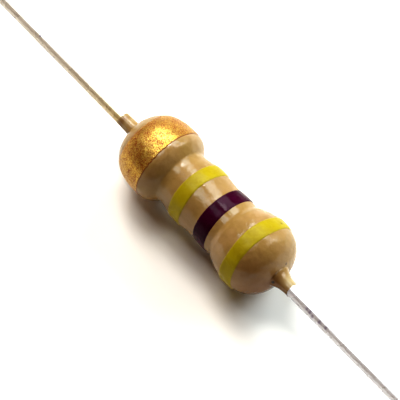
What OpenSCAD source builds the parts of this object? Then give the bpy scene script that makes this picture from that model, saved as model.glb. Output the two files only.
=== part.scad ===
// Axial-lead film resistor: lacquered dog-bone body with four colour bands and two straight wire leads.
// The part lies along X with its first digit at the +X end, and its origin is at the middle of the body.

/* [Body] */
// Length of the lacquered body between the tips of its two domes
body_len = 6.2; // [5.2:0.1:7.5]
// Thickness of the lacquer over the film, at the waist
waist_coat = 0.11; // [0.06:0.01:0.2]
// Thickness of the lacquer over the end caps
cap_coat = 0.22; // [0.15:0.01:0.4]
// Thickness of the lacquer in front of each cap's end face
end_coat = 0.35; // [0.3:0.01:0.6]
// How far before a cap's mouth the lacquer starts to swell
swell_lead = 0.19; // [0.05:0.01:0.4]
// Length of the swell at the rear shoulder
rear_swell = 0.45; // [0.3:0.05:0.9]
// Length of the swell at the front shoulder
front_swell = 0.85; // [0.3:0.05:0.9]
// Length of the rear dome, from its widest ring to its tip
rear_dome = 1.3; // [0.9:0.05:1.4]
// Length of the front dome, from its widest ring to its tip
front_dome = 1.1; // [0.9:0.05:1.4]
// Squareness of the domes, where 2 is an ellipse
dome_power = 2.4; // [2.2:0.1:3]

/* [Lacquer necks] */
// Distance that the lacquer runs out along each lead, past the dome
neck_run = 0.6; // [0.2:0.05:1]
// Thickness of a neck over the lead, where it leaves the dome
neck_wall = 0.12; // [0.1:0.01:0.3]
// Thickness of the lacquer at a neck's tip
neck_tip = 0.01; // [0.01:0.005:0.05]

/* [Colour bands] */
// Thickness of the band paint
paint_t = 0.03; // [0.02:0.005:0.06]
// Width of the first digit's band
first_w = 0.46; // [0.3:0.01:0.6]
// Width of the second digit's band
second_w = 0.5; // [0.3:0.01:0.6]
// Width of the multiplier's band
multiplier_w = 0.46; // [0.3:0.01:0.6]
// Width of the tolerance band
tolerance_w = 1.03; // [0.5:0.01:1.03]
// Distance from the front dome's tip to the first digit's band
first_inset = 0.76; // [0.5:0.01:1]
// Gap between the two digits' bands
digit_gap = 0.92; // [0.4:0.01:1]
// Gap between the second digit's band and the multiplier's
multiplier_gap = 0.58; // [0.4:0.01:0.6]
// Distance from the rear dome's tip to the tolerance band
tolerance_inset = 0.43; // [0.35:0.01:0.8]

/* [Ceramic core and film] */
// Diameter of the ceramic rod
rod_d = 1.6; // [1.2:0.05:2]
// Thickness of the resistive film
film_t = 0.02; // [0.01:0.005:0.05]
// Turns of the trimming groove
groove_turns = 3; // [1:1:5]
// Width of the trimming groove
groove_w = 0.15; // [0.08:0.01:0.2]
// Distance from a cap's mouth to the nearest end of the groove
groove_margin = 0.15; // [0.1:0.05:0.4]

/* [End caps] */
// Length of each cap over the rod, with its floor
cap_len = 1.4; // [0.8:0.05:1.7]
// Wall thickness of a cap
cap_wall = 0.16; // [0.1:0.01:0.25]
// Thickness of a cap's floor
cap_floor = 0.16; // [0.1:0.01:0.25]
// Radius of the fold around a cap's closed end
cap_fold = 0.3; // [0.1:0.01:0.3]

/* [Leads] */
// Diameter of the lead wire
lead_d = 0.4; // [0.35:0.01:0.6]
// Free length of each lead, from the dome's tip to the cut end
lead_len = 28; // [5:0.5:40]
// How far the weld's flash stands out round the wire
weld_flash = 0.1; // [0.05:0.01:0.15]
// Height of the weld's flash on the cap
weld_h = 0.2; // [0.1:0.01:0.25]

/* [Hidden] */
$fn = 96;
rod_r = rod_d / 2;
film_r = rod_r + film_t;
cap_r = film_r + cap_wall;
bulb_r = cap_r + cap_coat;
waist_r = film_r + waist_coat;
lead_r = lead_d / 2;
body_half = body_len / 2;
cap_end = body_half - end_coat;
cap_mouth = cap_end - cap_len;
rod_half = cap_end - cap_floor;
neck_end = body_half + neck_run;
lead_end = body_half + lead_len;
swell_start = cap_mouth - swell_lead;
groove_half = cap_mouth - groove_margin;
groove_clear = 0.05;
dome_steps = 16;
swell_steps = 10;
neck_steps = 8;
groove_steps = 24;
first_end = body_half - first_inset;
second_end = first_end - first_w - digit_gap;
multiplier_end = second_end - second_w - multiplier_gap;
tolerance_end = tolerance_inset + tolerance_w - body_half;

function within(u) = max(0, min(1, u));
function dome_len(x) = x < 0 ? rear_dome : front_dome;
function swell_len(x) = x < 0 ? rear_swell : front_swell;

// Superellipse: (distance past the widest ring / dome length)^p + (radius / bulb radius)^p = 1
function dome_r(x) =
    let (u = within((abs(x) - body_half + dome_len(x)) / dome_len(x)))
    pow(1 - pow(u, dome_power), 1 / dome_power);

// Quarter sine from the waist up to the bulb, times the dome's closing
function bulge_r(x) =
    let (rise = sin(90 * within((abs(x) - swell_start) / swell_len(x))))
    (waist_r + (bulb_r - waist_r) * rise) * dome_r(x);

// Parabola that thins to the neck's tip
function neck_r(x) =
    let (left = 1 - within((abs(x) - body_half) / neck_run))
    lead_r + neck_tip + (neck_wall - neck_tip) * left * left;

function coat_r(x) = max(bulge_r(x), neck_r(x));

// Stations along one half of the body, closer together where the outline curves most.
// The dome's last ones are left out where they would lie inside the neck's root.
function half_stations(side) = concat(
    [for (i = [0:swell_steps]) swell_start + swell_len(side) * i / swell_steps],
    [for (i = [1:dome_steps])
        let (x = body_half - dome_len(side) * (1 - pow(sin(90 * i / dome_steps), 2 / dome_power)))
        if (x > swell_start + swell_len(side) && bulge_r(x * side) > lead_r + neck_wall) x],
    [for (i = [0:neck_steps]) body_half + neck_run * i / neck_steps]
);

function coat_edge(extra) =
    let (rear = half_stations(-1), front = half_stations(1))
    concat(
        [for (i = [len(rear) - 1:-1:0]) [coat_r(-rear[i]) + extra, -rear[i]]],
        [for (x = front) [coat_r(x) + extra, x]]
    );

// Turns an outline of [radius, place along the part] about the lead axis and lays it along X
module turned() {
    rotate([0, 90, 0]) rotate_extrude() children();
}

module strip(radius, from, to) {
    translate([0, from]) square([radius, to - from]);
}

module coat_outline(extra) {
    polygon(concat(coat_edge(extra), [[0, neck_end], [0, -neck_end]]));
}

module cap_outline() {
    strip(cap_r, cap_mouth, cap_end - cap_fold);
    strip(cap_r - cap_fold, cap_mouth, cap_end);
    intersection() {
        translate([cap_r - cap_fold, cap_end - cap_fold]) circle(cap_fold);
        strip(cap_r, cap_mouth, cap_end);
    }
}

module lead_outline() {
    polygon([
        [0, cap_end],
        [lead_r + weld_flash, cap_end],
        [lead_r, cap_end + weld_h],
        [lead_r, lead_end],
        [0, lead_end]
    ]);
}

module both_ends() {
    children();
    mirror([0, 1]) children();
}

module rear() {
    mirror([1, 0, 0]) children();
}

// A square tool carried along a helix, deep enough to cut through the film
module groove_cutter() {
    rings = groove_turns * groove_steps;
    inner = rod_r - groove_clear;
    outer = film_r + groove_clear;
    points = [for (i = [0:rings])
        let (a = 360 * i / groove_steps, x = groove_half * (2 * i / rings - 1))
        for (c = [[inner, -1], [outer, -1], [outer, 1], [inner, 1]])
            [x + c[1] * groove_w / 2, c[0] * cos(a), c[0] * sin(a)]];
    sides = [for (i = [0:rings - 1], k = [0:3])
        let (a = 4 * i + k, b = 4 * i + (k + 1) % 4)
        for (t = [[a, b, a + 4], [b, b + 4, a + 4]]) t];
    polyhedron(points, concat([[3, 2, 1, 0]], sides, [[for (k = [0:3]) 4 * rings + k]]));
}

module band(from, to) {
    turned() difference() {
        intersection() {
            coat_outline(paint_t);
            strip(bulb_r + paint_t, from, to);
        }
        coat_outline(0);
    }
}

module end_cap() {
    turned() difference() {
        cap_outline();
        strip(film_r, 0, rod_half);
    }
}

module lead() {
    turned() lead_outline();
}

module ceramic_rod() {
    color("oldlace") turned() strip(rod_r, -rod_half, rod_half);
}

module carbon_film() {
    color("dimgray") difference() {
        turned() difference() {
            strip(film_r, -rod_half, rod_half);
            strip(rod_r, -rod_half, rod_half);
        }
        groove_cutter();
    }
}

module end_cap_front() {
    color("silver") end_cap();
}

module end_cap_rear() {
    color("silver") rear() end_cap();
}

module lead_front() {
    color("gainsboro") lead();
}

module lead_rear() {
    color("gainsboro") rear() lead();
}

module lacquer_coat() {
    color("burlywood") turned() difference() {
        coat_outline(0);
        strip(film_r, -rod_half, rod_half);
        both_ends() cap_outline();
        both_ends() lead_outline();
    }
}

module first_digit_band() {
    color("gold") band(first_end - first_w, first_end);
}

module second_digit_band() {
    color("indigo") band(second_end - second_w, second_end);
}

module multiplier_band() {
    color("gold") band(multiplier_end - multiplier_w, multiplier_end);
}

module tolerance_band() {
    color("goldenrod") band(tolerance_end - tolerance_w, tolerance_end);
}

ceramic_rod();
carbon_film();
end_cap_front();
end_cap_rear();
lead_front();
lead_rear();
lacquer_coat();
first_digit_band();
second_digit_band();
multiplier_band();
tolerance_band();
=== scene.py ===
import math
import bpy
import numpy as np
from mathutils import Matrix, Vector


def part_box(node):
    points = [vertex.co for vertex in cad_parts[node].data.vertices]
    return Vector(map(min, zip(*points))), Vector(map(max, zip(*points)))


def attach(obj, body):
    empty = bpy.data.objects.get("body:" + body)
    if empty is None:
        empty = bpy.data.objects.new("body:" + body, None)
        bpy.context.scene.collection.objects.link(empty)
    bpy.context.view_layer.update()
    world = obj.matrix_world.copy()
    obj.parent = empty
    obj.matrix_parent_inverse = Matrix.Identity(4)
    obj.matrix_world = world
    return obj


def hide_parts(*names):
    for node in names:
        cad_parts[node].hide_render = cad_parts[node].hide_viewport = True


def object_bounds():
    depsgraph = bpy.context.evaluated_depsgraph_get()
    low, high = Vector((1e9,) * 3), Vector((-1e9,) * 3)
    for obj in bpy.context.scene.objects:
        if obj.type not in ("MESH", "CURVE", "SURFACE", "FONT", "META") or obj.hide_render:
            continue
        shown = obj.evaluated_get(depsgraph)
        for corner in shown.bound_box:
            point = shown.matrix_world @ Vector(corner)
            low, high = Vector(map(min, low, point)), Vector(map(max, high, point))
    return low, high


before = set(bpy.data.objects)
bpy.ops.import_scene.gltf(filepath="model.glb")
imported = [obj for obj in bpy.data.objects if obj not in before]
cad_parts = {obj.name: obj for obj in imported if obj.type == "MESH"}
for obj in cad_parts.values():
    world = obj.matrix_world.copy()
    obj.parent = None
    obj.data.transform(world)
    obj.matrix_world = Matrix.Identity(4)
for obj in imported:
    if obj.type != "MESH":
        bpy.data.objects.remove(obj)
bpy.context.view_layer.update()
mm = 0.001  # the frame is in metres, and every size below is in millimetres


def nodeSpan(node):
    # first and last place of a node along the lead axis, and its radius, in mm
    low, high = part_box(node)
    return low.x / mm, high.x / mm, max(high.y, high.z) / mm


coatRear, coatFront, bulbRadius = nodeSpan("lacquer_coat")
leadEnd = nodeSpan("lead_front")[1]
capMouth, capEnd, capRadius = nodeSpan("end_cap_front")
filmRadius = nodeSpan("carbon_film")[2]
print("frame loaded, body", round(coatFront - coatRear, 2), "mm with its necks")


def putMesh(name, points, quads, triangles=None, sharpAngle=50):
    # points is (n, 3) in mm; quads and triangles list their corners with outward winding
    mesh = bpy.data.meshes.new(name)
    corners = quads.ravel() if triangles is None else np.concatenate([quads.ravel(), triangles.ravel()])
    starts = np.arange(0, quads.size, 4)
    if triangles is not None:
        starts = np.concatenate([starts, np.arange(quads.size, corners.size, 3)])
    mesh.vertices.add(len(points))
    mesh.vertices.foreach_set("co", (points * mm).astype(np.float32).ravel())
    mesh.loops.add(corners.size)
    mesh.loops.foreach_set("vertex_index", corners.astype(np.int32))
    mesh.polygons.add(starts.size)
    mesh.polygons.foreach_set("loop_start", starts.astype(np.int32))
    mesh.polygons.foreach_set("use_smooth", np.ones(starts.size, bool))
    mesh.update(calc_edges=True)
    mesh.validate()
    mesh.set_sharp_from_angle(angle=math.radians(sharpAngle))
    piece = bpy.data.objects.new(name, mesh)
    bpy.context.scene.collection.objects.link(piece)
    return piece


def ringQuads(rows, columns, closed):
    # quads of a grid that closes round its columns, and along its rows too if closed
    i, j = np.meshgrid(np.arange(rows if closed else rows - 1), np.arange(columns), indexing="ij")
    nextI, nextJ = (i + 1) % rows, (j + 1) % columns
    corners = [i * columns + j, nextI * columns + j, nextI * columns + nextJ, i * columns + nextJ]
    return np.stack(corners, -1).reshape(-1, 4)


def turnedPoints(along, radius, angle):
    # point(row, column) = (along, radius sin angle, radius cos angle)
    x = np.broadcast_to(along, radius.shape)
    return np.stack([x, radius * np.sin(angle), radius * np.cos(angle)], -1).reshape(-1, 3)


def turnedRing(name, along, radius, angle):
    # a closed outline turned about X, so the surface has no ends
    return putMesh(name, turnedPoints(along, radius, angle), ringQuads(*radius.shape, closed=True))


def turnedBar(name, along, radius, angle):
    # an open outline turned about X, with one point on the axis closing each end
    rows, columns = radius.shape
    ends = np.array([[along[0].mean(), 0, 0], [along[-1].mean(), 0, 0]])
    points = np.concatenate([turnedPoints(along, radius, angle), ends])
    j = np.arange(columns)
    after = (j + 1) % columns
    first = np.stack([np.full(columns, rows * columns), j, after], -1)
    last = (rows - 1) * columns
    final = np.stack([np.full(columns, rows * columns + 1), last + after, last + j], -1)
    return putMesh(name, points, ringQuads(rows, columns, closed=False), np.concatenate([first, final]))


def fullTurn(columns):
    return np.linspace(0, 2 * math.pi, columns, endpoint=False)[None, :]


def waves(along, angle, seed, count, turns, pitch):
    # sum of sine waves over the unrolled body, each with a whole number of turns, scaled to about -1..1
    rng = np.random.default_rng(seed)
    total = np.zeros(np.broadcast(along, angle).shape)
    for _ in range(count):
        around = rng.integers(-turns, turns + 1)
        lengthwise = rng.uniform(-1, 1) * 2 * math.pi / pitch
        total += np.sin(around * angle + lengthwise * along + rng.uniform(0, 2 * math.pi))
    return total / math.sqrt(count) / 1.4


def ease(u):
    # smooth step 3u^2 - 2u^3 between 0 and 1
    u = np.clip(u, 0, 1)
    return u * u * (3 - 2 * u)


def addValues(piece, name, values):
    # one number a vertex, for a material to read
    attribute = piece.data.attributes.new(name, "FLOAT", "POINT")
    attribute.data.foreach_set("value", values.astype(np.float32).ravel())


def addSpots(piece, points, spots):
    # 1 within half a spot's size of its middle, easing to 0 at one and a half sizes
    values = np.zeros(len(points))
    for *middle, size in spots:
        away = np.linalg.norm(points - np.array(middle), axis=1)
        values = np.maximum(values, 1 - ease(away / size - 0.5))
    addValues(piece, "spot", values)


def joinFrame(piece, node, material):
    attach(piece, "root")
    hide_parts(node)
    piece.data.materials.append(material)
    print("made", piece.name, len(piece.data.polygons), "faces")
    return piece


# materials: what they share is in node groups, and a Mapping node turns metres into millimetres

def addNode(tree, kind, inputs=None, **settings):
    made = tree.nodes.new(kind)
    for key, value in settings.items():
        setattr(made, key, value)
    for key, value in (inputs or {}).items():
        if isinstance(value, bpy.types.NodeSocket):
            tree.links.new(value, made.inputs[key])
        else:
            made.inputs[key].default_value = value
    return made


def newGroup(name, inputs, outputs):
    group = bpy.data.node_groups.new(name, "ShaderNodeTree")
    for label, kind, value in inputs:
        socket = group.interface.new_socket(name=label, in_out="INPUT", socket_type=kind)
        socket.default_value = value
    for label, kind in outputs:
        group.interface.new_socket(name=label, in_out="OUTPUT", socket_type=kind)
    return group, group.nodes.new("NodeGroupInput"), group.nodes.new("NodeGroupOutput")


def inMillimetres(tree, stretch=(1, 1, 1)):
    place = addNode(tree, "ShaderNodeTexCoord").outputs["Object"]
    scale = tuple(s / mm for s in stretch)
    return addNode(tree, "ShaderNodeMapping", {"Vector": place, "Scale": scale}).outputs["Vector"]


def noiseAt(tree, place, scale, detail=3.0, distortion=0.0):
    values = {"Vector": place, "Scale": scale, "Detail": detail, "Distortion": distortion}
    return addNode(tree, "ShaderNodeTexNoise", values).outputs["Fac"]


def remap(tree, value, low, high, toLow, toHigh, smooth=True):
    inputs = {"Value": value, "From Min": low, "From Max": high, "To Min": toLow, "To Max": toHigh}
    kind = "SMOOTHSTEP" if smooth else "LINEAR"
    return addNode(tree, "ShaderNodeMapRange", inputs, interpolation_type=kind).outputs["Result"]


def mixColour(tree, share, first, second, blend="MIX"):
    made = addNode(tree, "ShaderNodeMix", data_type="RGBA", blend_type=blend)
    for index, value in ((0, share), (6, first), (7, second)):
        if isinstance(value, bpy.types.NodeSocket):
            tree.links.new(value, made.inputs[index])
        else:
            made.inputs[index].default_value = value
    return made.outputs[2]


def mathNode(tree, operation, *values):
    return addNode(tree, "ShaderNodeMath", dict(enumerate(values)), operation=operation).outputs[0]


def makeGrainGroup():
    # roughness that drifts between two values, and a height of broad ripples with fine grain on them
    group, given, result = newGroup("finishGrain", [
        ("Broad", "NodeSocketFloat", 1.0),
        ("Fine", "NodeSocketFloat", 12.0),
        ("Smooth", "NodeSocketFloat", 0.2),
        ("Rough", "NodeSocketFloat", 0.4),
        ("Fine Share", "NodeSocketFloat", 0.3),
    ], [("Roughness", "NodeSocketFloat"), ("Height", "NodeSocketFloat")])
    place = inMillimetres(group)
    broad = noiseAt(group, place, given.outputs["Broad"], 2.0, 0.4)
    fine = noiseAt(group, place, given.outputs["Fine"], 4.0)
    rough = remap(group, broad, 0.35, 0.65, given.outputs["Smooth"], given.outputs["Rough"])
    height = mathNode(group, "MULTIPLY_ADD", fine, given.outputs["Fine Share"], broad)
    group.links.new(rough, result.inputs["Roughness"])
    group.links.new(height, result.inputs["Height"])
    return group


def makeMottleGroup():
    # a base colour clouded with a second one, and thinly streaked with a third
    group, given, result = newGroup("mottle", [
        ("Colour", "NodeSocketColor", (1, 1, 1, 1)),
        ("Cloud", "NodeSocketColor", (1, 1, 1, 1)),
        ("Streak", "NodeSocketColor", (1, 1, 1, 1)),
        ("Cloud Scale", "NodeSocketFloat", 1.0),
        ("Streak Scale", "NodeSocketFloat", 4.0),
        ("Streak Share", "NodeSocketFloat", 0.4),
    ], [("Colour", "NodeSocketColor")])
    place = inMillimetres(group)
    cloudNoise = noiseAt(group, place, given.outputs["Cloud Scale"], 3.0, 0.6)
    streakNoise = noiseAt(group, place, given.outputs["Streak Scale"], 5.0, 1.2)
    cloud = remap(group, cloudNoise, 0.38, 0.62, 0, 1)
    streak = remap(group, streakNoise, 0.45, 0.7, 0, 1)
    share = mathNode(group, "MULTIPLY", streak, given.outputs["Streak Share"])
    clouded = mixColour(group, cloud, given.outputs["Colour"], given.outputs["Cloud"])
    streaked = mixColour(group, share, clouded, given.outputs["Streak"])
    group.links.new(streaked, result.inputs["Colour"])
    return group


def makeSpeckGroup():
    # specks of dust and pinholes: the middles of a few cells of a Voronoi pattern
    group, given, result = newGroup("specks", [
        ("Scale", "NodeSocketFloat", 3.0),
        ("Size", "NodeSocketFloat", 0.1),
        ("Kept", "NodeSocketFloat", 0.2),
    ], [("Mask", "NodeSocketFloat")])
    values = {"Vector": inMillimetres(group), "Scale": given.outputs["Scale"]}
    cells = addNode(group, "ShaderNodeTexVoronoi", values)
    near = mathNode(group, "LESS_THAN", cells.outputs["Distance"], given.outputs["Size"])
    pick = addNode(group, "ShaderNodeSeparateColor", {"Color": cells.outputs["Color"]}).outputs[0]
    kept = mathNode(group, "LESS_THAN", pick, given.outputs["Kept"])
    group.links.new(mathNode(group, "MULTIPLY", near, kept), result.inputs["Mask"])
    return group


grainGroup = makeGrainGroup()
mottleGroup = makeMottleGroup()
speckGroup = makeSpeckGroup()


def useGroup(tree, group, values):
    made = addNode(tree, "ShaderNodeGroup", node_tree=group)
    for key, value in values.items():
        made.inputs[key].default_value = value
    return made


def startMaterial(name, shader):
    material = bpy.data.materials.new(name)
    material.use_nodes = True
    tree = material.node_tree
    principled = tree.nodes["Principled BSDF"]
    for key, value in shader.items():
        principled.inputs[key].default_value = value
    return material, tree, principled


def readValue(tree, name):
    return addNode(tree, "ShaderNodeAttribute", attribute_name=name).outputs["Fac"]


def mottled(tree, values):
    colours = {"Colour": values["colour"], "Cloud": values["cloud"], "Streak": values["streak"]}
    return useGroup(tree, mottleGroup, {**colours, **values["mottle"]}).outputs["Colour"]


def speckled(tree, colour, specks, dirt):
    mask = useGroup(tree, speckGroup, specks).outputs["Mask"]
    return mixColour(tree, mask, colour, dirt)


def joinShader(tree, principled, colour, roughness, height, bump):
    tree.links.new(colour, principled.inputs["Base Color"])
    tree.links.new(roughness, principled.inputs["Roughness"])
    made = addNode(tree, "ShaderNodeBump", {"Height": height, "Distance": bump * mm, "Strength": 1.0})
    tree.links.new(made.outputs["Normal"], principled.inputs["Normal"])


def finishGrained(tree, principled, colour, values):
    grain = useGroup(tree, grainGroup, values["grain"])
    joinShader(tree, principled, colour, grain.outputs["Roughness"], grain.outputs["Height"], values["bump"])


lacquer = {
    "shader": {"Specular IOR Level": 0.3},
    "colour": (0.298, 0.190, 0.068, 1),
    "cloud": (0.32, 0.200, 0.082, 1),
    "streak": (0.245, 0.143, 0.045, 1),
    # paler colour of the thinned lacquer, partly a painted highlight on top of the front neck
    "film": (0.38, 0.30, 0.16, 1),
    # brown of lacquer pooled at the necks, partly painted shade under the front dome
    "varnishAndShade": (0.20, 0.09, 0.025, 1),
    "speck": (0.02, 0.01, 0.004, 1),
    "mottle": {"Cloud Scale": 1.1, "Streak Scale": 3.0, "Streak Share": 0.35},
    "dust": {"Scale": 5.0, "Size": 0.09, "Kept": 0.015},
    "grain": {"Broad": 1.3, "Fine": 5.0, "Smooth": 0.12, "Rough": 0.22, "Fine Share": 0.45},
    "bump": 0.04,
    "spots": [(3.045, 0.30, 0.36, 0.028), (3.16, -0.29, 0.12, 0.045)],  # middle and size, in mm
}


def makeLacquer():
    # browner where it is thick under the front neck and dome, partly painted shade on the underside away from
    # the lamps, and paler where it thins to a film on the wires, partly a painted highlight on the lit top of
    # the front neck
    material, tree, principled = startMaterial("beigeLacquer", lacquer["shader"])
    colour = mixColour(tree, readValue(tree, "neck"), mottled(tree, lacquer), lacquer["varnishAndShade"])
    colour = mixColour(tree, readValue(tree, "film"), colour, lacquer["film"])
    colour = speckled(tree, colour, lacquer["dust"], lacquer["speck"])
    colour = mixColour(tree, readValue(tree, "spot"), colour, lacquer["speck"])
    finishGrained(tree, principled, colour, lacquer)
    return material


yellow = {
    "shader": {"Specular IOR Level": 0.1},
    "colour": (0.350, 0.272, 0.009, 1),
    "cloud": (0.31, 0.235, 0.007, 1),
    "streak": (0.375, 0.31, 0.016, 1),
    "thin": (0.32, 0.24, 0.03, 1),
    "mottle": {"Cloud Scale": 1.6, "Streak Scale": 6.0, "Streak Share": 0.5},
    "grain": {"Broad": 1.5, "Fine": 14.0, "Smooth": 0.25, "Rough": 0.42, "Fine Share": 0.2},
    "bump": 0.02,
}
violet = {
    "shader": {"Specular IOR Level": 0.06},
    "colour": (0.040, 0.0008, 0.016, 1),
    "cloud": (0.031, 0.0006, 0.012, 1),
    "streak": (0.056, 0.002, 0.027, 1),
    "thin": (0.05, 0.006, 0.022, 1),
    "mottle": {"Cloud Scale": 1.6, "Streak Scale": 6.0, "Streak Share": 0.4},
    "grain": {"Broad": 2.0, "Fine": 9.0, "Smooth": 0.14, "Rough": 0.28, "Fine Share": 0.2},
    "bump": 0.03,
}


def makePaint(name, values):
    # glossy paint that thins to its undercoat at a band's edges
    material, tree, principled = startMaterial(name, values["shader"])
    colour = mixColour(tree, readValue(tree, "edge"), mottled(tree, values), values["thin"])
    colour = mixColour(tree, readValue(tree, "spot"), colour, lacquer["speck"])
    finishGrained(tree, principled, colour, values)
    return material


gold = {
    "shader": {"Specular IOR Level": 0.3},
    "bright": (0.62, 0.42, 0.115, 1),
    "pale": (0.52, 0.28, 0.04, 1),
    "deep": (0.28, 0.07, 0.003, 1),
    "binder": (0.16, 0.05, 0.01, 1),
    "stretch": (1.6, 1.0, 1.0),
    "flakes": 55.0,
    "flakeShare": 0.60,
    "drift": 0.15,
    "tilt": 0.5,
    "grain": {"Broad": 6.0, "Fine": 22.0, "Smooth": 0.28, "Rough": 0.42, "Fine Share": 0.8},
    "bump": 0.009,
}


def makeGold():
    # metal flakes in a brown binder: each Voronoi cell is either a flake with its own tint and tilt or binder
    material, tree, principled = startMaterial("goldPaint", gold["shader"])
    place = inMillimetres(tree, gold["stretch"])
    values = {"Vector": place, "Scale": gold["flakes"], "Randomness": 1.0}
    cells = addNode(tree, "ShaderNodeTexVoronoi", values)
    tint = addNode(tree, "ShaderNodeSeparateColor", {"Color": cells.outputs["Color"]})
    drift = remap(tree, noiseAt(tree, place, 4.0, 4.0, 1.0), 0.35, 0.65, -gold["drift"], gold["drift"])
    metal = mathNode(tree, "LESS_THAN", tint.outputs[0], mathNode(tree, "ADD", drift, gold["flakeShare"]))
    bare = mathNode(tree, "SUBTRACT", 1.0, readValue(tree, "edge"))
    metal = mathNode(tree, "MULTIPLY", metal, bare)
    flake = mixColour(tree, tint.outputs[2], gold["bright"], gold["pale"])
    colour = mixColour(tree, metal, gold["deep"], flake)
    colour = mixColour(tree, readValue(tree, "edge"), colour, gold["binder"])
    grain = useGroup(tree, grainGroup, gold["grain"])
    height = mathNode(tree, "MULTIPLY_ADD", tint.outputs[1], gold["tilt"], grain.outputs["Height"])
    tree.links.new(metal, principled.inputs["Metallic"])
    joinShader(tree, principled, colour, grain.outputs["Roughness"], height, gold["bump"])
    return material


tin = {
    "shader": {"Metallic": 0.3},
    "colour": (0.80, 0.795, 0.82, 1),
    "cloud": (0.73, 0.72, 0.75, 1),
    "streak": (0.56, 0.52, 0.52, 1),
    "pit": (0.30, 0.26, 0.36, 1),
    # golden colour of a painted warm reflection on the rear wire
    "warmReflection": (0.60, 0.46, 0.22, 1),
    "mottle": {"Cloud Scale": 0.8, "Streak Scale": 4.0, "Streak Share": 0.15},
    "pits": {"Scale": 7.0, "Size": 0.20, "Kept": 0.06},
    "grain": {"Broad": 1.5, "Fine": 30.0, "Smooth": 0.22, "Rough": 0.32, "Fine Share": 0.1},
    "bump": 0.003,
}


def makeTin():
    # bright tin, with a painted warm reflection yellowing the rear wire underneath, and a few dark pits
    material, tree, principled = startMaterial("tinnedWire", tin["shader"])
    colour = mixColour(tree, readValue(tree, "warmReflection"), mottled(tree, tin), tin["warmReflection"])
    colour = speckled(tree, colour, tin["pits"], tin["pit"])
    colour = mixColour(tree, readValue(tree, "spot"), colour, tin["pit"])
    finishGrained(tree, principled, colour, tin)
    return material


hidden = {
    "firedCeramic": {
        "nodes": ["ceramic_rod"],
        "shader": {"Metallic": 0.0},
        "colour": (0.78, 0.74, 0.66, 1),
        "cloud": (0.70, 0.66, 0.58, 1),
        "streak": (0.6, 0.55, 0.47, 1),
        "grain": {"Broad": 3.0, "Fine": 25.0, "Smooth": 0.7, "Rough": 0.9},
        "bump": 0.01,
    },
    "carbonFilm": {
        "nodes": ["carbon_film"],
        "shader": {"Metallic": 0.0},
        "colour": (0.03, 0.028, 0.027, 1),
        "cloud": (0.05, 0.045, 0.04, 1),
        "streak": (0.015, 0.014, 0.014, 1),
        "grain": {"Broad": 3.0, "Fine": 25.0, "Smooth": 0.45, "Rough": 0.7},
        "bump": 0.004,
    },
    "cappedSteel": {
        "nodes": ["end_cap_front", "end_cap_rear"],
        "shader": {"Metallic": 1.0},
        "colour": (0.62, 0.61, 0.58, 1),
        "cloud": (0.54, 0.53, 0.5, 1),
        "streak": (0.42, 0.38, 0.32, 1),
        "grain": {"Broad": 3.0, "Fine": 25.0, "Smooth": 0.3, "Rough": 0.5},
        "bump": 0.006,
    },
}
hiddenMottle = {"Cloud Scale": 2.0, "Streak Scale": 8.0}


def dressHidden():
    # what the lacquer hides still has its own finish
    for name, values in hidden.items():
        material, tree, principled = startMaterial(name, values["shader"])
        colour = mottled(tree, {**values, "mottle": hiddenMottle})
        finishGrained(tree, principled, colour, values)
        for node in values["nodes"]:
            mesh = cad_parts[node].data
            mesh.materials.clear()
            mesh.materials.append(material)


coat = {
    "waistRadius": 0.925, "crownDrop": 0.008, "bodyHalf": 3.1, "columns": 288,
    "rearDome": 1.3, "frontDome": 1.1, "domePower": 2.4, "domeRows": 43, "waistRows": 120,
    "swellLead": 0.19, "rearSwell": 0.45, "frontSwell": 0.85,
    "neckWall": 0.16, "rearNeckWall": 0.035, "neckTip": 0.012, "blend": 0.02, "neckRows": 26,
    # place along the axis, height and width of each swelling or dip
    "lumps": [(-0.3, 0.045, 0.36), (0.3, -0.008, 0.2), (0.85, 0.028, 0.2), (-1.02, -0.045, 0.2),
              (1.34, 0.014, 0.05)],
    # seed, number of waves, most turns and shortest pitch
    "ripple": 0.008, "rippleWaves": (11, 14, 4, 2.2), "neckWander": 0.25, "neckWaves": (12, 5, 2, 1.5),
    "skew": 0.2, "skewAngle": 1.05, "ragged": 0.05, "raggedWaves": (13, 6, 5, 1),
    # partly painted shade: the front stain darkens the underside of the front dome and neck from 1.95 mm out
    "frontStainAndShade": 1.0, "stainAndShadeFrom": 1.95, "stainAndShadeRun": 1.15,
    "rearStain": 0.8, "beadAt": 3.52, "beadWidth": 0.12,
    "rearFilm": 0.7, "filmFrom": 0.05, "filmRun": 0.35,
    "clear": 0.003, "capFold": 0.3, "foldRows": 6, "innerStop": 0.06,
}
wire = {
    "radius": 0.2, "columns": 64, "rows": 420, "ripple": 0.0015, "rippleWaves": (20, 2, 2.5),
    # painted warm reflection on the rear wire: its level far out, its run from the lacquer, its spread round
    # the underside
    "chamfer": 0.03, "flash": 0.1, "flashHeight": 0.2, "warmReflection": 0.38, "warmReflectionRun": 1.5, "warmReflectionUnder": 1.2,
    "spots": [(4.42, -0.13, 0.15, 0.05), (4.56, -0.13, 0.15, 0.06), (4.69, -0.16, 0.11, 0.05),
              (4.97, -0.14, 0.14, 0.06), (5.22, -0.13, 0.15, 0.05)],  # middle and size, in mm
}


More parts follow.
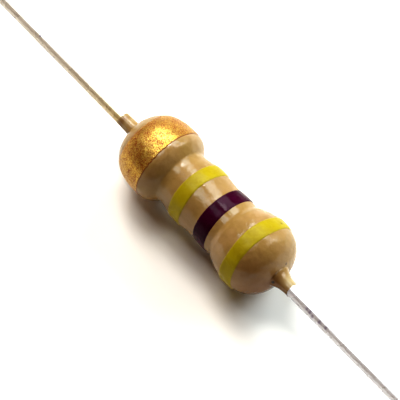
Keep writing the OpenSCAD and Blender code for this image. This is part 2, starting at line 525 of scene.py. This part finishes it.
def coatRadius(x, angle):
    # superellipse domes times (waist + quarter-sine swell + gaussian lumps), blended into cubic necks
    side = np.abs(x)
    domeLength = np.where(x < 0, coat["rearDome"], coat["frontDome"])
    swellLength = np.where(x < 0, coat["rearSwell"], coat["frontSwell"])
    closing = np.clip((side - coat["bodyHalf"] + domeLength) / domeLength, 0, 1)
    dome = (1 - closing ** coat["domePower"]) ** (1 / coat["domePower"])
    rise = np.sin(math.pi / 2 * np.clip((side - capMouth + coat["swellLead"]) / swellLength, 0, 1))
    crown = bulbRadius - coat["crownDrop"]
    body = coat["waistRadius"] + (crown - coat["waistRadius"]) * rise
    for centre, height, width in coat["lumps"]:
        body = body + height * np.exp(-((x - centre) / width) ** 2 / 2)
    body = body + coat["ripple"] * (waves(x, angle, *coat["rippleWaves"]) - 0.3)
    body = np.minimum(body, bulbRadius) * dome
    left = 1 - np.clip((side - coat["bodyHalf"]) / (coatFront - coat["bodyHalf"]), 0, 1)
    wander = 1 + coat["neckWander"] * waves(x, angle, *coat["neckWaves"])
    wall = np.where(x < 0, coat["rearNeckWall"], coat["neckWall"]) - coat["neckTip"]
    neck = wire["radius"] + coat["neckTip"] + wall * left ** 3 * wander
    return (body + neck + np.sqrt((body - neck) ** 2 + coat["blend"] ** 2)) / 2 - coat["blend"] / 4


def coatInside():
    # half an outline of (place, radius) that clears the wire, its weld, the cap and the film
    gap = coat["clear"]
    fold = coat["capFold"]
    bend = np.linspace(0, math.pi / 2, coat["foldRows"])
    foldX = capEnd + gap - fold * (1 - np.cos(bend))
    foldR = capRadius + gap - fold * (1 - np.sin(bend))
    start = [(coatFront - coat["innerStop"], wire["radius"] + gap),
             (capEnd + wire["flashHeight"] + gap, wire["radius"] + gap),
             (capEnd + gap, wire["radius"] + wire["flash"] + gap)]
    end = [(capMouth - gap, capRadius + gap), (capMouth - gap, filmRadius + gap)]
    return start + list(zip(foldX, foldR)) + end


def makeCoat(material):
    angle = fullTurn(coat["columns"])
    quarter = np.linspace(0, math.pi / 2, coat["domeRows"] + 1)[:-1]
    turn = 1 - np.sin(quarter) ** (2 / coat["domePower"])
    frontDome = coat["bodyHalf"] - coat["frontDome"] * turn
    rearDome = coat["bodyHalf"] - coat["rearDome"] * turn
    neckRun = np.linspace(coat["bodyHalf"], coatFront, coat["neckRows"])
    middle = np.linspace(-rearDome[0], frontDome[0], coat["waistRows"])[1:-1]
    stations = np.concatenate([-neckRun[::-1], -rearDome[::-1], middle, frontDome, neckRun])[:, None]
    reach = ease((np.abs(stations) - coat["bodyHalf"]) / (coatFront - coat["bodyHalf"]))
    # the lacquer runs out further underneath than on top, with a ragged end
    ragged = coat["skew"] * (1 + np.cos(angle - coat["skewAngle"])) / 2
    ragged = ragged + np.abs(coat["ragged"] * waves(stations[:1], angle, *coat["raggedWaves"]))
    x = stations - np.sign(stations) * reach * ragged
    outer = coatRadius(x, angle)
    half = coatInside()
    inside = np.array(half + [(-place, radius) for place, radius in half[::-1]])
    innerX = np.repeat(inside[:, :1], coat["columns"], axis=1)
    innerR = np.repeat(inside[:, 1:], coat["columns"], axis=1)
    allX = np.concatenate([x, innerX])
    allR = np.concatenate([outer, innerR])
    piece = turnedRing("lacquerCoat", allX, allR, angle)
    # in front the lacquer is browner underneath, a stain that is partly painted shade on the side away from
    # the lamps, and behind it ends in one brown bead
    reached = np.abs(allX)
    under = (1 - np.cos(angle - coat["skewAngle"])) / 2
    stainAndShade = coat["frontStainAndShade"] * under * ease((reached - coat["stainAndShadeFrom"]) / coat["stainAndShadeRun"])
    bead = coat["rearStain"] * np.exp(-((reached - coat["beadAt"]) / coat["beadWidth"]) ** 2)
    addValues(piece, "neck", np.where(allX > 0, stainAndShade, bead))
    # in front the film is paler on top only, partly a painted highlight on the lit side; behind it runs all
    # round
    thin = np.where(allX > 0, 1 - under, coat["rearFilm"] * (1 - bead))
    addValues(piece, "film", thin * ease((reached - coat["bodyHalf"] - coat["filmFrom"]) / coat["filmRun"]))
    addSpots(piece, turnedPoints(allX, allR, angle), lacquer["spots"])
    return joinFrame(piece, "lacquer_coat", material)


bands = {
    "firstDigitBand": {"node": "first_digit_band", "slot": "yellow_paint", "seed": 21, "wander": 0.022,
                       "fray": 0.004, "rows": 26, "columns": 360, "spots": [(2.17, 0.89, 0.81, 0.03)]},
    "secondDigitBand": {"node": "second_digit_band", "slot": "violet_paint", "seed": 31, "wander": 0.012,
                        "fray": 0.003, "rows": 26, "columns": 360, "spots": []},
    "multiplierBand": {"node": "multiplier_band", "slot": "yellow_paint", "seed": 41, "wander": 0.02,
                       "fray": 0.004, "rows": 26, "columns": 360, "spots": []},
    "toleranceBand": {"node": "tolerance_band", "slot": "gold_paint", "seed": 51, "wander": 0.02,
                      "fray": 0.014, "rows": 90, "columns": 480, "spots": []},
}
paint = {"height": 0.016, "edge": 0.05, "thinEdge": 1.4, "bedded": 0.002, "sunk": 0.02, "headroom": 0.028,
         "backRows": 6, "wanderWaves": (5, 4, 1), "frayWaves": (16, 60, 1)}


def makeBand(name, spec, material):
    # radius = coat radius + paint height x (1 - (1 - s)^3), s being how much of the edge's width is reached
    low, high, _ = nodeSpan(spec["node"])
    angle = fullTurn(spec["columns"])
    edges = []
    for place, seed in ((low, spec["seed"]), (high, spec["seed"] + 5)):
        wander = spec["wander"] * waves(np.zeros((1, 1)), angle, seed, *paint["wanderWaves"])
        fray = spec["fray"] * waves(np.zeros((1, 1)), angle, seed + 1, *paint["frayWaves"])
        edges.append(place + wander + fray)
    across = (0.5 - 0.5 * np.cos(np.linspace(0, math.pi, spec["rows"])))[:, None]
    x = edges[0] + (edges[1] - edges[0]) * across
    reached = np.clip(np.minimum(x - edges[0], edges[1] - x) / paint["edge"], 0, 1)
    lift = paint["height"] * (1 - (1 - reached) ** 3) - paint["bedded"]
    top = np.minimum(coatRadius(x, angle) + lift, bulbRadius + paint["headroom"])
    backX = edges[0] + (edges[1] - edges[0]) * np.linspace(1, 0, paint["backRows"])[:, None]
    bottom = coatRadius(backX, angle) - paint["sunk"]
    allX = np.concatenate([x, backX])
    allR = np.concatenate([top, bottom])
    piece = turnedRing(name, allX, allR, angle)
    addSpots(piece, turnedPoints(allX, allR, angle), spec["spots"])
    addValues(piece, "edge", np.concatenate([1 - ease(reached * paint["thinEdge"]), np.ones_like(bottom)]))
    return joinFrame(piece, spec["node"], material)


def makeLead(name, node, side, seed, material):
    # radius = wire radius less drawn ripples, from the weld's flash on the cap to a chamfered cut end
    angle = fullTurn(wire["columns"])
    body = np.linspace(capEnd + wire["flashHeight"], leadEnd - wire["chamfer"], wire["rows"])
    place = np.concatenate([[capEnd], body, [leadEnd]])[:, None]
    radius = np.full((len(place), wire["columns"]), wire["radius"])
    drawn = 0.5 + 0.5 * waves(body[:, None], angle, seed, *wire["rippleWaves"])
    radius[1:-1] -= wire["ripple"] * np.clip(drawn, 0, 1)
    radius[0] += wire["flash"]
    radius[-1] -= wire["chamfer"]
    x = np.repeat(place, wire["columns"], axis=1)
    if side < 0:
        x = -x[::-1]
        radius = radius[::-1]
    piece = turnedBar(name, x, radius, angle)
    ends = np.zeros((2, 3))  # the two points that close the bar carry no spots
    addSpots(piece, np.concatenate([turnedPoints(x, radius, angle), ends]), wire["spots"])
    # painted warm reflection: the rear wire is yellowed underneath, most of all next to the lacquer
    under = ease((1 - np.cos(angle - coat["skewAngle"])) / wire["warmReflectionUnder"]) * np.ones_like(x)
    near = np.exp(-np.maximum(np.abs(x) - coatFront, 0) / wire["warmReflectionRun"])
    warmReflection = under * (wire["warmReflection"] + (1 - wire["warmReflection"]) * near)
    addValues(piece, "warmReflection", np.append(warmReflection if side < 0 else 0 * warmReflection, [0, 0]))
    return joinFrame(piece, node, material)


tinned = makeTin()
beige = makeLacquer()
bandPaint = {
    "yellow_paint": makePaint("yellowPaint", yellow),
    "violet_paint": makePaint("violetPaint", violet),
    "gold_paint": makeGold(),
}
print("materials ready")
makeCoat(beige)
for bandName, bandSpec in bands.items():
    makeBand(bandName, bandSpec, bandPaint[bandSpec["slot"]])
makeLead("leadFront", "lead_front", 1, 61, tinned)
makeLead("leadRear", "lead_rear", -1, 62, tinned)
dressHidden()
print("object finished")


# studio: a pale floor that the bulbs lie on, banks of soft light, windows and cards that are only
# reflected, and a dim warm room

studio = {"floorSize": 12.0, "floorColour": (0.89, 0.885, 0.875, 1),
          "floorRoughness": 0.85, "floorSpecular": 0.1,
          "roomColour": (1.0, 0.45, 0.16, 1), "roomLight": 0.06, "seenByCamera": 1.0, "lampDistance": 0.30,
          "cool": (0.93, 1.06, 1.08), "sky": (0.88, 1.04, 1.10), "white": (1, 1, 1),
          "warm": (1.0, 0.965, 0.90)}
lamps = {
    # azimuth from +X towards +Y, elevation, width and height in m, strength in watts, what it lights, tint
    "lowBank": (90, 28, 0.20, 0.12, 0.62, "diffuse", "cool"),
    "frontBank": (62, 25, 0.14, 0.12, 0.30, "diffuse", "cool"),
    "rearBank": (155, 32, 0.20, 0.14, 0.38, "diffuse", "warm"),
    "topBank": (148, 58, 0.16, 0.10, 0.50, "diffuse", "warm"),
    "rearTop": (185, 62, 0.10, 0.08, 0.18, "diffuse", "warm"),
    "endFill": (-25, 40, 0.16, 0.12, 0.035, "diffuse", "warm"),
    "windowSide": (125, 52, 0.26, 0.14, 0.80, "glossy", "sky"),
    "windowTop": (209, 66, 0.24, 0.10, 0.38, "glossy", "sky"),
    "pane": (147, 60, 0.045, 0.026, 0.16, "glossy", "white"),
    "windowEnd": (67, 43, 0.10, 0.19, 0.38, "glossy", "white"),
    "lowCard": (100, 15, 0.40, 0.16, 0.10, "glossy", "white"),
}
view = {"azimuth": 49.3, "elevation": 60.8, "distance": 0.30, "frameWidth": 11.24, "imageWidth": 400,
        "bodyAt": (207, 204), "sensorWidth": 36, "nearest": 0.01, "farthest": 50}


def makeFloor():
    size = studio["floorSize"] / 2
    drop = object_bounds()[0].z
    mesh = bpy.data.meshes.new("studioFloor")
    corners = [(-size, -size, drop), (size, -size, drop), (size, size, drop), (-size, size, drop)]
    mesh.from_pydata(corners, [], [(0, 1, 2, 3)])
    floor = bpy.data.objects.new("studioFloor", mesh)
    bpy.context.scene.collection.objects.link(floor)
    material, _, _ = startMaterial("palePaper", {
        "Base Color": studio["floorColour"],
        "Roughness": studio["floorRoughness"],
        "Specular IOR Level": studio["floorSpecular"],
    })
    mesh.materials.append(material)


def makeLights():
    # each lamp stands at the same distance from the part and faces it
    for name, (azimuth, elevation, width, height, watts, lights, tint) in lamps.items():
        a = math.radians(azimuth)
        e = math.radians(elevation)
        toward = Vector((math.cos(a) * math.cos(e), math.sin(a) * math.cos(e), math.sin(e)))
        data = bpy.data.lights.new(name, "AREA")
        data.shape = "RECTANGLE"
        data.size = width
        data.size_y = height
        data.energy = watts
        data.color = studio[tint]
        lamp = bpy.data.objects.new(name, data)
        lamp.location = toward * studio["lampDistance"]
        wide = (Vector((1, 0, 0)) - toward * toward.x).normalized()
        lamp.rotation_euler = Matrix((wide, toward.cross(wide), toward)).transposed().to_euler()
        lamp.visible_camera = False
        lamp.visible_glossy = lights != "diffuse"
        lamp.visible_diffuse = lights != "glossy"
        bpy.context.scene.collection.objects.link(lamp)
    world = bpy.data.worlds.new("studioWorld")
    world.use_nodes = True
    tree = world.node_tree
    direct = addNode(tree, "ShaderNodeLightPath").outputs["Is Camera Ray"]
    strength = remap(tree, direct, 0, 1, studio["roomLight"], studio["seenByCamera"], smooth=False)
    colour = mixColour(tree, direct, studio["roomColour"], (1, 1, 1, 1))
    tree.links.new(strength, tree.nodes["Background"].inputs["Strength"])
    tree.links.new(colour, tree.nodes["Background"].inputs["Color"])
    bpy.context.scene.world = world


def makeCamera():
    # back = (sin a cos e, -cos a cos e, sin e), for azimuth a and elevation e
    a = math.radians(view["azimuth"])
    e = math.radians(view["elevation"])
    back = Vector((math.sin(a) * math.cos(e), -math.cos(a) * math.cos(e), math.sin(e)))
    turn = back.to_track_quat("Z", "Y")
    data = bpy.data.cameras.new("camera")
    data.sensor_width = view["sensorWidth"]
    data.lens = data.sensor_width * view["distance"] / (view["frameWidth"] * mm)
    data.clip_start = view["nearest"]
    data.clip_end = view["farthest"]
    step = view["frameWidth"] * mm / view["imageWidth"]
    half = view["imageWidth"] / 2
    aside = (half - view["bodyAt"][0]) * step
    upward = (view["bodyAt"][1] - half) * step
    camera = bpy.data.objects.new("camera", data)
    camera.rotation_mode = "QUATERNION"
    camera.rotation_quaternion = turn
    camera.location = back * view["distance"] + turn @ Vector((aside, upward, 0))
    bpy.context.scene.collection.objects.link(camera)
    bpy.context.scene.camera = camera


makeFloor()
makeLights()
makeCamera()
bpy.context.scene.view_settings.view_transform = "Standard"
bpy.context.scene.view_settings.look = "High Contrast"
print("studio ready")
